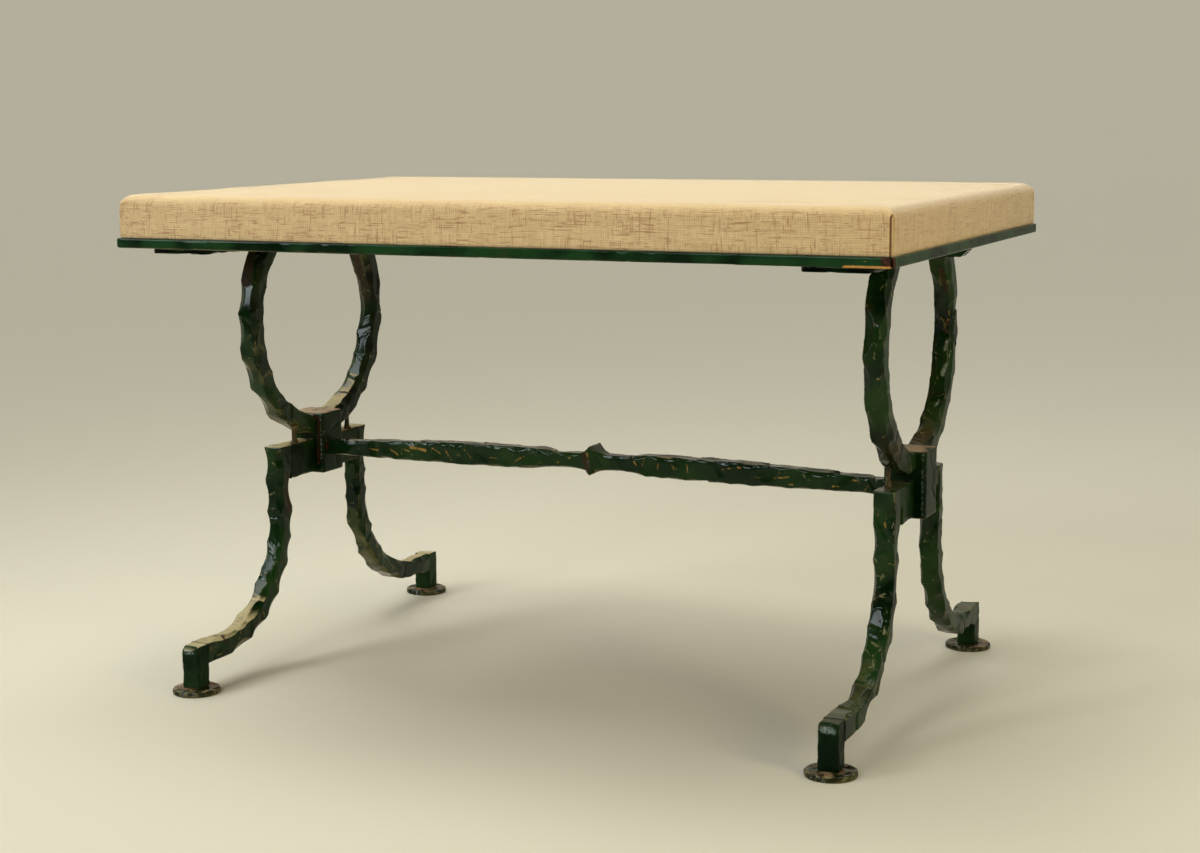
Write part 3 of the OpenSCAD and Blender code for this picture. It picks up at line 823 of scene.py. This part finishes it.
def stretcher():
    """The hammered bar between the hubs, with a forged knot at its middle."""
    sweep = Sweep(EDGES["stretcher"], ACROSS, ACROSS)
    count = int(2 * BAR_REACH / STEP)
    for i in range(count + 1):
        x = -BAR_REACH + 2 * BAR_REACH * i / count
        size = stretcher_half(x)
        sweep.add((x, 0, stretcher_height(x)), Y_AXIS, Z_AXIS, size, size)
    hits = [hit for hit in bar_hits(501, sweep, STRETCHER_BLOWS) if abs(hit[0][0]) > KNOT_UNHIT]
    forged("stretcher", sweep, hits, stretcher_iron)


FLAT_STEP = 2.2 * MM
RIM_CORNER = 2.2 * MM
STRAP_CORNER = 10 * MM


def rim_bar(row, axis, seed):
    """One mitred flat bar of the frame. axis is "x" where it runs along the bench."""
    name = f"frame_{row}"
    sweep = block_sweep(*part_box(name), axis, EDGES["rim"], FLAT_STEP)
    along = "xy".index(axis)
    across = 1 - along

    def bend(points):
        inward = RIM_HALVES[across] - np.abs(points[:, across])
        points[:, along] *= 1 - inward / RIM_HALVES[along]
        points[:, :2] = eased(points[:, :2], RIM_HALVES, RIM_CORNER, fill=False)
        return points

    sweep.bend = bend
    forged(name, sweep, bar_hits(seed, sweep, RIM_BLOWS), flat_iron, cap_rings=3)


def strap(side, seed):
    """A flat strap under the end of the frame, with rounded corners."""
    name = f"strap_{side}"
    low, high = (np.array(end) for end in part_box(name))
    sweep = block_sweep(low, high, "y", EDGES["strap"], FLAT_STEP)
    middle, half = ((low + high) / 2)[:2], ((high - low) / 2)[:2]

    def bend(points):
        points[:, :2] = middle + eased(points[:, :2] - middle, half, STRAP_CORNER, fill=False)
        return points

    sweep.bend = bend
    forged(name, sweep, bar_hits(seed, sweep, STRAP_BLOWS), flat_iron, cap_rings=3)


# The rim of a foot plate from its underside up to its top: height and inset, in millimetres
FOOT_RIM = ((0, 1.2), (0.6, 0.4), (1.4, 0), (2.6, 0), (3.8, 0), (4.6, 0.5), (5.1, 1.3), (5.5, 2.6))
RIM_HITS = 16
TOP_HITS = 18


def foot(side, row, seed):
    """A round hammered foot plate with an uneven rim."""
    name = f"foot_{side}_{row}"
    low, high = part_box(name)
    rng = np.random.default_rng(seed)
    middle = np.array([(low.x + high.x) / 2, (low.y + high.y) / 2, 0])
    sweep = Sweep(FOOT_RADIUS, 1, 1, 24)
    for height, inset in FOOT_RIM:
        radius = FOOT_RADIUS - inset * MM
        level = height / FOOT_RIM[-1][0] * (high.z - low.z) * Z_AXIS
        sweep.add(middle + level, X_AXIS, Y_AXIS, radius, radius, radius)
    hits = []

    def around(angle):
        return np.array([cos(angle), sin(angle), 0])

    for i in range(RIM_HITS):
        out = around(2 * pi * (i + rng.uniform(-0.3, 0.3)) / RIM_HITS)
        spot = middle + FOOT_RADIUS * out + high.z * rng.uniform(0.3, 1.1) * Z_AXIS
        out = out + rng.uniform(0, 1) * Z_AXIS
        hits.append((spot, out / np.linalg.norm(out), rng.uniform(3, 7) * MM, rng.uniform(0.4, 1.3) * MM))
    for i in range(TOP_HITS):
        out, reach = around(rng.uniform(0, 2 * pi)), rng.uniform(10, 21) * MM
        spot = middle + reach * out + high.z * Z_AXIS
        hits.append((spot, tilted(rng, Z_AXIS, 0.2), rng.uniform(3, 7) * MM, rng.uniform(0.3, 0.8) * MM))
    forged(name, sweep, hits, foot_iron, cap_rings=12)


TACK_WAIST = 2.8 * MM
TACK_FLARE = 2.8 * MM
TACK_SPREAD = 52 * MM
TACK_BITE = 3 * MM
TACK_ROWS = 16


def tacks():
    """The four small tacks between the lugs and the underside of the rings."""
    ring_under = RING_HEIGHT - sqrt((RING_RADIUS + HALF_BAR) ** 2 - TACK_SPREAD**2)
    low, high = LEG_TOP - OVERLAP, ring_under + TACK_BITE
    for number, (sx, sy) in enumerate((a, b) for a in (-1, 1) for b in (-1, 1)):
        x = sx * (END_X - HALF_BAR + TACK_WAIST + OVERLAP)
        sweep = Sweep(EDGES["tack"], 4, 4)
        for i in range(TACK_ROWS + 1):
            t = i / TACK_ROWS
            half = TACK_WAIST + TACK_FLARE * abs(2 * t - 1) ** 2.5
            centre = (x, sy * TACK_SPREAD, low + t * (high - low))
            sweep.add(centre, X_AXIS, Y_AXIS, half * 0.8, half, 0.7 * half)
        hits = bar_hits(601 + number, sweep, TACK_BLOWS)
        forged("ring_tacks", sweep, hits, tack_iron, f"ring_tack_{number + 1}")


def gussets():
    """The wedges behind the rear ends of the rings."""
    low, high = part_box("rear_gussets")
    inner, tip = END_X + HALF_BAR, END_X + (strap_high.x - strap_low.x) / 2
    for side, sx in SIDES.items():
        ends = (inner - OVERLAP, low.y, low.z), (tip, high.y, high.z)
        sweep = block_sweep(*ends, "y", EDGES["gusset"])

        def bend(points, sx=sx):
            kept = 1 - (high.z - points[:, 2]) / (tip - inner)
            points[:, 0] = sx * (inner + (points[:, 0] - inner) * kept)
            return points

        sweep.bend = bend
        forged("rear_gussets", sweep, bar_hits(701, sweep, GUSSET_BLOWS), flat_iron, f"rear_gusset_{side}")


for number, (side, row) in enumerate((s, r) for s in SIDES for r in ROWS):
    ring_arm(side, row, 101 + number)
    leg_bar(side, row, 201 + number)
    lug(side, row, 301 + number)
    post(side, row, 321 + number)
    foot(side, row, 341 + number)

for number, side in enumerate(SIDES):
    block(f"hub_{side}", "z", EDGES["hub"], 401 + number, hub_iron)
    strap(side, 421 + number)

for number, (row, axis) in enumerate((("front", "x"), ("back", "x"), ("left", "y"), ("right", "y"))):
    rim_bar(row, axis, 441 + number)

stretcher()
tacks()
gussets()


# Seat pad


PAD_CROWN = 5 * MM
PAD_PROUD = np.array([2.0, 0.5]) * MM
PAD_HALF = np.array([pad_high.x, pad_high.y]) + PAD_PROUD
PAD_TOP = pad_high.z - PAD_CROWN
PAD_ROUND = 10 * MM
PAD_CORNER = 3.5 * MM
PAD_BULGE = 0.8 * MM
PAD_SHOULDER = 110 * MM
CLOTH = 1.0 * MM
PUFF_FRAMES = 20
PUFF = {
    "quality": 5, "mass": 0.3, "tension_stiffness": 40, "compression_stiffness": 40, "shear_stiffness": 20,
    "bending_stiffness": 8, "use_pressure": True, "uniform_pressure_force": 4, "vertex_group_mass": "held"}


def graded(half, finest, growth, pitch):
    """Grid lines from -half to half, fine at both ends and even in the middle."""
    reach, size, offsets = 0.0, finest, [0.0]
    while size < pitch and reach < half * 0.8:
        reach += size
        offsets.append(reach)
        size *= growth
    count = max(1, round(2 * (half - reach) / pitch))
    left = [-half + v for v in offsets]
    middle = np.linspace(left[-1], -left[-1], count + 1)[1:-1]
    return np.array(left + list(middle) + [-v for v in reversed(left)])


def carried(places, old_places, shifts, **wrap):
    """Shifts at new places along a line, from those at its old places."""
    return np.column_stack([np.interp(places, old_places, shifts[:, axis], **wrap) for axis in range(3)])


class Box:
    """The pad's skin as a gridded box: level loops of points up its sides, then a grid over its top."""

    def __init__(self, xs, ys, zs):
        self.xs, self.ys, self.zs = xs, ys, zs
        grid = np.stack(np.meshgrid(xs, ys, indexing="ij"), -1).reshape(-1, 2)
        top = np.arange(len(grid)).reshape(len(xs), len(ys))
        rim = np.concatenate([top[:-1, 0], top[-1, :-1], top[:0:-1, -1], top[0, :0:-1]])
        self.plan = grid[rim]
        steps = np.linalg.norm(np.diff(self.plan, axis=0, append=self.plan[:1]), axis=1)
        self.run = np.concatenate([[0], np.cumsum(steps)[:-1]])
        self.length = steps.sum()
        around = len(rim)
        self.top_start = around * (len(zs) - 1)
        self.top = self.top_start + top
        self.loops = [list(range(start, start + around)) for start in range(0, self.top_start, around)]
        self.loops.append((self.top_start + rim).tolist())
        levels = [(self.plan, z) for z in zs[:-1]] + [(grid, zs[-1])]
        self.flat = np.vstack([np.column_stack([plan, np.full(len(plan), z)]) for plan, z in levels])

    def faces(self):
        made = [face for pair in zip(self.loops, self.loops[1:]) for face in band(*pair)]
        top = self.top
        corners = (top[:-1, :-1], top[1:, :-1], top[1:, 1:], top[:-1, 1:])
        return made + list(zip(*[corner.ravel().tolist() for corner in corners]))

    def spread(self, coarse, shifts):
        """The shifts of a coarser box's points, carried over to the points of this one."""
        around = [carried(self.run, coarse.run, shifts[loop], period=coarse.length) for loop in coarse.loops]
        sides = np.stack([carried(self.zs[:-1], coarse.zs, column) for column in np.stack(around, 1)], 1)
        grid = shifts[coarse.top_start:].reshape(len(coarse.xs), len(coarse.ys), 3)
        across = np.stack([carried(self.xs, coarse.xs, line) for line in grid.transpose(1, 0, 2)], 1)
        return np.vstack([*sides, *[carried(self.ys, coarse.ys, line) for line in across]])


def rounded(flat):
    """The box's points pulled onto its rounded upper edges and upright corners, and the ways out of it."""
    plan, height = flat[:, :2], flat[:, 2]
    low_edge = PAD_TOP - PAD_ROUND
    across = np.clip((np.abs(plan) - (PAD_HALF - PAD_ROUND)).max(1), 0, PAD_ROUND)
    above = np.maximum(height - low_edge, 0)
    scale = PAD_ROUND / np.maximum(np.hypot(across, above), 1e-9)
    on_edge = across > 1e-9
    inset = np.where(on_edge, PAD_ROUND - across * scale, 0)
    old_half = PAD_HALF - (PAD_ROUND - across)[:, None]
    new_half = PAD_HALF - inset[:, None]
    turn = (PAD_CORNER + 0.5 * inset) * np.clip(1.6 * across / PAD_ROUND, 0, 1)
    pulled = eased(plan * new_half / old_half, new_half, turn[:, None])
    plan = np.where(on_edge[:, None], pulled, plan)
    height = np.where(on_edge & (above > 0), low_edge + above * scale, height)
    core = np.clip(flat, [*(PAD_ROUND - PAD_HALF), 0], [*(PAD_HALF - PAD_ROUND), low_edge])
    outward = flat - core
    outward /= np.maximum(np.linalg.norm(outward, axis=1), 1e-9)[:, None]
    return np.column_stack([plan, height]), outward


def puffed(box, points, outward):
    """How far the foam presses the pad's cover out, from a cloth simulation with its foot held down."""
    thing = new_object("pad_trial", points, box.faces() + [tuple(box.loops[0][::-1])], linen)
    held = thing.vertex_groups.new(name="held")
    held.add(box.loops[0] + box.loops[1], 1.0, "REPLACE")
    cloth = thing.modifiers.new("cloth", "CLOTH")
    for key, value in PUFF.items():
        setattr(cloth.settings, key, value)
    cloth.settings.effector_weights.gravity = 0
    cloth.collision_settings.use_collision = False
    scene = bpy.context.scene
    for number in range(1, PUFF_FRAMES + 1):
        scene.frame_set(number)
    shown = thing.evaluated_get(bpy.context.evaluated_depsgraph_get())
    moved = np.array([v.co for v in shown.data.vertices])
    scene.frame_set(1)
    bpy.data.objects.remove(thing)
    swell = np.maximum(((moved - points) * outward).sum(1), 0)
    inland = (PAD_HALF - np.abs(points[:, :2])).min(1) / PAD_SHOULDER
    limit = PAD_BULGE + (PAD_CROWN - PAD_BULGE) * outward[:, 2] ** 4 * (1 - np.exp(-(inland**2) * 2))
    return outward * (limit * np.tanh(swell / limit))[:, None]


PLEAT_DEPTH = 6 * MM
PLEAT_WIDTH = 1.1 * MM
PLEAT_ARCH = 2.0 * MM
PLEAT_AT = -1.3 * MM
PLEAT_TOP = PAD_TOP - 10 * MM
FOLD_DEPTH = 0.16
FOLD_FADE = 24 * MM
LIP_HEIGHT = 0.8 * MM
LIP_AT = 2.6 * MM
LIP_WIDTH = 1.6 * MM
LIP_FADE = 6 * MM


def pleats(box, points):
    """Presses a pleat into each upright corner of the cover: a slit that arches over to a fainter fold."""
    flat = box.flat
    from_x, from_y = (PAD_HALF - np.abs(flat[:, :2])).T
    along = np.where(from_x > from_y, from_x, -from_y) - PLEAT_AT
    above = points[:, 2] - PLEAT_TOP
    side = np.where(flat[:, 2] < PAD_TOP - 1e-6, 1.0, 0.0)
    fold = np.abs(np.hypot(along, np.maximum(above, 0)) - PLEAT_ARCH)
    deep = np.clip(0.5 + along / PLEAT_ARCH, 0, 1)
    fainter = FOLD_DEPTH * np.clip(1 + above / FOLD_FADE, 0, 1)
    groove = PLEAT_DEPTH * (fainter + (1 - fainter) * deep) * np.exp(-((fold / PLEAT_WIDTH) ** 2))
    lips = LIP_HEIGHT * np.exp(-(((fold - LIP_AT) / LIP_WIDTH) ** 2)) * np.clip(1 - above / LIP_FADE, 0, 1)
    inward = -np.sign(points[:, :2]) / sqrt(2)
    points = points.copy()
    points[:, :2] += inward * (side * (groove - lips))[:, None]
    return points


BOARD_CORNER = 30 * MM
BOARD_BEVEL = 0.5 * MM
CORNER_STEPS = 9


def seat_board():
    """The plywood board in the pad, with its corners sawn round to clear the pleats."""
    turns = [quarter * pi / 2 + np.linspace(0, pi / 2, CORNER_STEPS) for quarter in range(4)]
    turns = np.concatenate(turns)
    signs = np.repeat([(1, 1), (-1, 1), (-1, -1), (1, -1)], CORNER_STEPS, axis=0)
    arcs = BOARD_CORNER * np.column_stack([np.cos(turns), np.sin(turns)])
    plan = signs * (BOARD_HALVES - BOARD_CORNER) + arcs
    levels = ((board_low.z, BOARD_BEVEL), (board_low.z + BOARD_BEVEL, 0.0), (board_high.z, 0.0))
    points, loops = [], []
    for z, inset in levels:
        loops.append(list(range(len(points), len(points) + len(plan))))
        points += [(x, y, z) for x, y in plan * (1 - inset / BOARD_HALVES)]
    faces = [loops[0][::-1], loops[2]] + band(loops[0], loops[1]) + band(loops[1], loops[2])
    board = new_object("plywood_board", points, faces, board_wood)
    board.data.polygons.foreach_set("use_smooth", [False] * len(board.data.polygons))
    stands_for(board, ["seat_board"])


HEM_INNER = PAD_HALF - 52 * MM
BOARD_WRAP = BOARD_HALVES + 0.3 * MM
WRAP_TOP = board_high.z + 0.3 * MM
WRAP_REACH = 60 * MM
FOOT_INSET = 1.0 * MM
FOOT_RISE = 1.2 * MM


def seat_pad():
    """The linen cover over its foam: simulated, pleated at its corners and turned under round the board."""
    foot = pad_low.z
    rise = PAD_TOP - foot
    coarse = Box(
        *[graded(half, 4 * MM, 1.3, 11 * MM) for half in PAD_HALF],
        foot + rise * np.array([0, 0.3, 0.45, 0.6, 0.72, 0.82, 0.91, 1.0]))
    start, outward = rounded(coarse.flat)
    shifts = puffed(coarse, start, outward)

    fine = Box(
        *[graded(half, 0.45 * MM, 1.1, 7 * MM) for half in PAD_HALF],
        foot + rise * np.concatenate([[0, 0.012, 0.035], np.linspace(0.07, 0.97, 40), [0.985, 1.0]]))
    points = pleats(fine, rounded(fine.flat)[0] + fine.spread(coarse, shifts))
    inset = FOOT_INSET * np.clip(1 - (points[:, 2] - foot) / FOOT_RISE, 0, 1) ** 2
    edge = np.abs(points[:, :2]) > PAD_HALF - 12 * MM
    points[:, :2] -= np.sign(points[:, :2]) * edge * inset[:, None]

    # From the foot inward under the board as a hem, back out and up round the board, and in over it
    turns = (
        (HEM_INNER, foot), (HEM_INNER, foot + CLOTH), (BOARD_WRAP, foot + CLOTH), (BOARD_WRAP, WRAP_TOP),
        (BOARD_WRAP - WRAP_REACH, WRAP_TOP))
    faces = fine.faces()
    flats = [fine.flat]
    outer = fine.loops[0]
    for half, height in turns:
        plan = eased(fine.plan / PAD_HALF * half, half, BOARD_CORNER)
        ring = np.column_stack([plan, np.full(len(plan), height)])
        inner = list(range(len(points), len(points) + len(plan)))
        points = np.vstack([points, ring])
        flats.append(ring)
        faces += band(inner, outer)
        outer = inner
    faces.append(tuple(outer[::-1]))

    pad = new_object("linen_pad", points, faces, linen)
    unfold(pad, np.vstack(flats))
    stands_for(pad, ["seat_cover", "seat_foam"])


def unfold(pad, flat):
    """A UV map with each face's place on the flat cloth, in metres, so that the weave follows the cover."""
    layer = pad.data.uv_layers.new(name="cloth")
    below = PAD_TOP - flat[:, 2]
    for face in pad.data.polygons:
        index = list(face.vertices)
        spot = flat[index]
        places = spot[:, :2].copy()
        if spot[:, 2].min() < PAD_TOP - 1e-6:
            gap = PAD_HALF - np.abs(spot[:, :2])
            axis = 0 if gap[:, 0].max() < gap[:, 1].max() else 1
            places[:, axis] += np.sign(spot[:, axis]) * below[index]
        for loop, place in zip(face.loop_indices, places):
            layer.data[loop].uv = place


seat_pad()
seat_board()


# Camera, lights and floor


def place_camera(location, yaw, pitch, roll, focal_pixels, width_pixels):
    """A camera turned left by yaw, down by pitch and by roll, in degrees, with its focal length in pixels."""
    data = bpy.data.cameras.new("camera")
    data.sensor_width = 36
    data.lens = data.sensor_width * focal_pixels / width_pixels
    camera = linked("camera", data)
    turned = Matrix.Translation(location)
    for degrees, axis in ((yaw, "Z"), (90 - pitch, "X"), (roll, "Z")):
        turned = turned @ Matrix.Rotation(radians(degrees), 4, axis)
    camera.matrix_world = turned
    bpy.context.scene.camera = camera


def new_light(name, kind, power, colour):
    data = bpy.data.lights.new(name, kind)
    data.energy = power
    data.color = colour
    return data, linked(name, data)


def area_light(name, location, target, size, power, colour, spread=180):
    """A rectangular lamp that faces its target, with its beam as wide as spread, in degrees."""
    data, light = new_light(name, "AREA", power, colour)
    data.shape = "RECTANGLE"
    data.size, data.size_y = size
    data.spread = radians(spread)
    light.location = location
    light.rotation_euler = (Vector(target) - Vector(location)).to_track_quat("-Z", "Y").to_euler()


def even_light(name, power, colour, softness):
    """Light from far above, which reaches the whole floor alike."""
    data, light = new_light(name, "SUN", power, colour)
    data.angle = radians(softness)
    light.rotation_euler = (radians(-12), radians(-8), 0)


place_camera((0.84179, -1.84650, 0.56067), 24.3533, 8.8148, -0.3560, focal_pixels=2081.5, width_pixels=1200)
WINDOW = (0.88, 0.95, 1.0)
area_light("window_left", (-1.8, -2.1, 1.5), (-0.3, 0, 0.3), (0.6, 1.4), 3.9, WINDOW, 60)
area_light("window_right", (-0.48, -2.4, 1.75), (0.3, 0, 0.2), (0.8, 1.2), 3.8, WINDOW, 60)
area_light("window_high", (-1.5, -0.8, 1.95), (-0.2, 0, 0.25), (0.7, 0.7), 1.4, (0.90, 0.96, 1.0), 60)
area_light("panel_left", (-1.2, 0.1, 1.9), (-0.2, 0, 0.3), (0.5, 0.7), 6, (1.0, 0.96, 0.86))
area_light("panel_right", (-0.25, 0.25, 2.0), (0.2, 0, 0.3), (0.6, 0.35), 4, (1.0, 0.98, 0.94))
area_light("side", (2.3, -0.9, 1.0), (0.1, 0, 0.35), (0.7, 0.9), 8.7, (1.0, 0.88, 0.46), 110)
even_light("ceiling", 2.2, (0.97, 1.0, 0.98), 60)

FLOOR_REACH = 40.0


def studio():
    """A pale floor, seen from above only, and a world that camera, glossy and transmission rays see pale."""
    g = new_material("floor")
    from_below = g.node("NewGeometry")["Backfacing"]
    finish = g.surface({
        "Base Color": rgb(188, 181, 162), "Roughness": 0.8, "Alpha": g.math("SUBTRACT", 1.0, from_below)})
    corners = [(sx * FLOOR_REACH, sy * FLOOR_REACH, 0) for sx, sy in ((-1, -1), (1, -1), (1, 1), (-1, 1))]
    new_object("floor", corners, [(0, 1, 2, 3)], finish)

    world = bpy.data.worlds.new("studio")
    bpy.context.scene.world = world
    g = Graph(world)
    rays = g.node("LightPath")
    seen = g.highest(rays["Is Camera Ray"], rays["Is Glossy Ray"], rays["Is Transmission Ray"])
    behind = g.parts(g.node("TexCoord")["Generated"])[1]
    backdrop = g.highest(g.step_up(behind, -0.5, 0.3), rays["Is Camera Ray"])
    strength = g.blend(seen, 0.18, g.ramp(backdrop, 0.0, 1.0, 0.06, 0.468))
    tint = g.mix(seen, (1.0, 0.97, 0.90, 1.0), (0.976, 0.916, 0.714, 1.0))
    sky = g.node("Background", {"Color": tint, "Strength": strength})
    g.node("OutputWorld", {0: sky[0]})


studio()
bpy.context.scene.view_settings.view_transform = "Standard"
